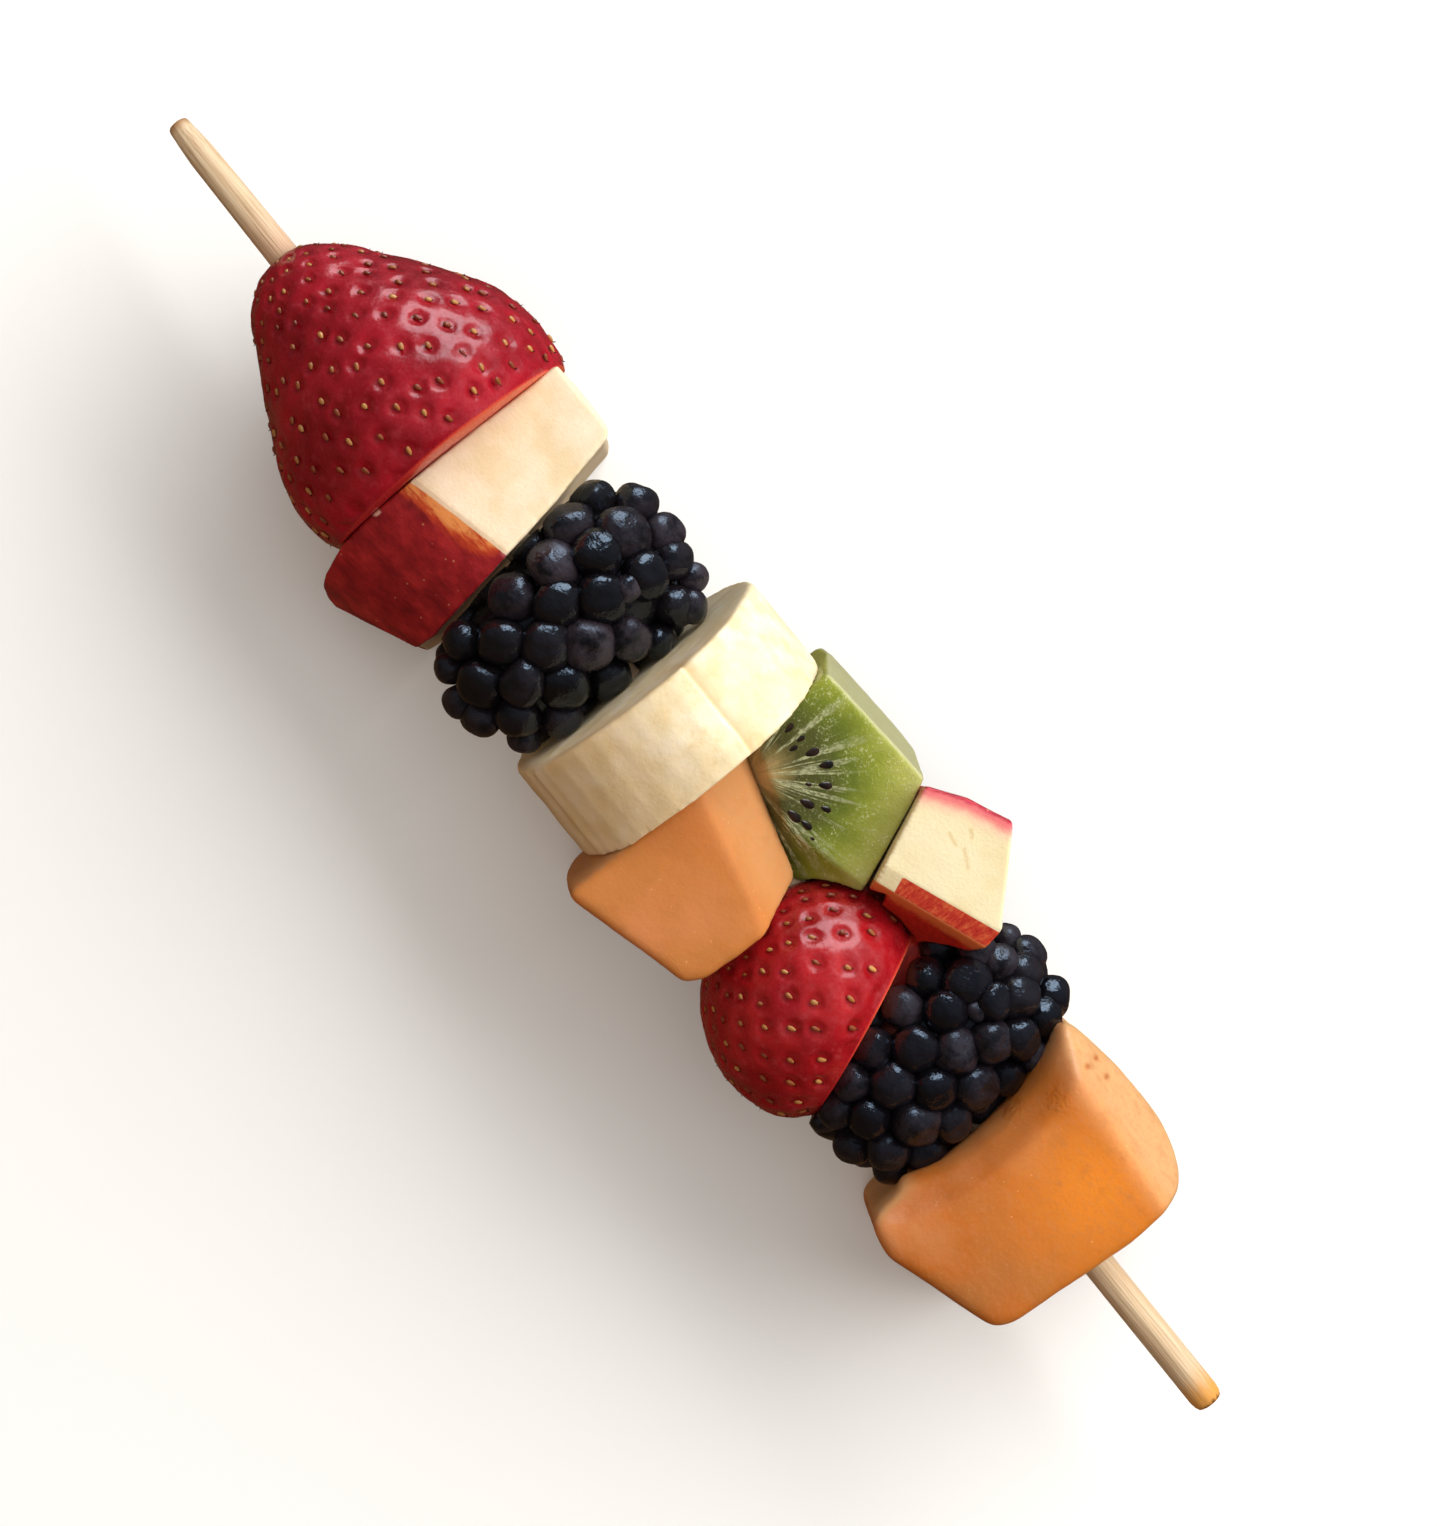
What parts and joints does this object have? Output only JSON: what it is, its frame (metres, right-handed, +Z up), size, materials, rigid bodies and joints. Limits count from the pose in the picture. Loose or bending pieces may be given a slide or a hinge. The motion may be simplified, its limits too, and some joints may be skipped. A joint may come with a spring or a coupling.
{
  "type": "fruit skewer",
  "caption": "Fresh strawberries, apple, brambles, banana, melon and kiwi threaded on a round wooden stick, lying flat.",
  "frame": {"origin": "on the table, under the middle of the whole skewer", "axes": "+X along the stick from its tapered tip to its blunt end, +Y across it towards the kiwi and the apple chunk, +Z up"},
  "size_m": [0.203, 0.0478, 0.0381],
  "materials": {
    "stick_wood": "smooth unvarnished pale wood with fine lengthways grain, scorched at its blunt end",
    "strawberry": "moist glossy crimson skin with golden achenes in dimples",
    "apple_flesh": "moist cream flesh, with glossy dark red speckled skin on its uncut side",
    "bramble": "glossy near-black drupelets with a faint blue bloom",
    "banana": "soft matt cream flesh with faint mottling",
    "melon": "moist orange flesh, paler where it curves towards the rind",
    "kiwi": "wet translucent green flesh with pale rays and black seeds"
  },
  "bodies": {
    "root": {"skewer_stick": "stick_wood", "strawberry_large": "strawberry", "apple_slab": "apple_flesh", "bramble_upper": "bramble", "banana_slice": "banana", "melon_middle": "melon", "kiwi_chunk": "kiwi", "strawberry_small": "strawberry", "apple_chunk": "apple_flesh", "bramble_lower": "bramble", "melon_end": "melon"}
  },
  "joints": []
}
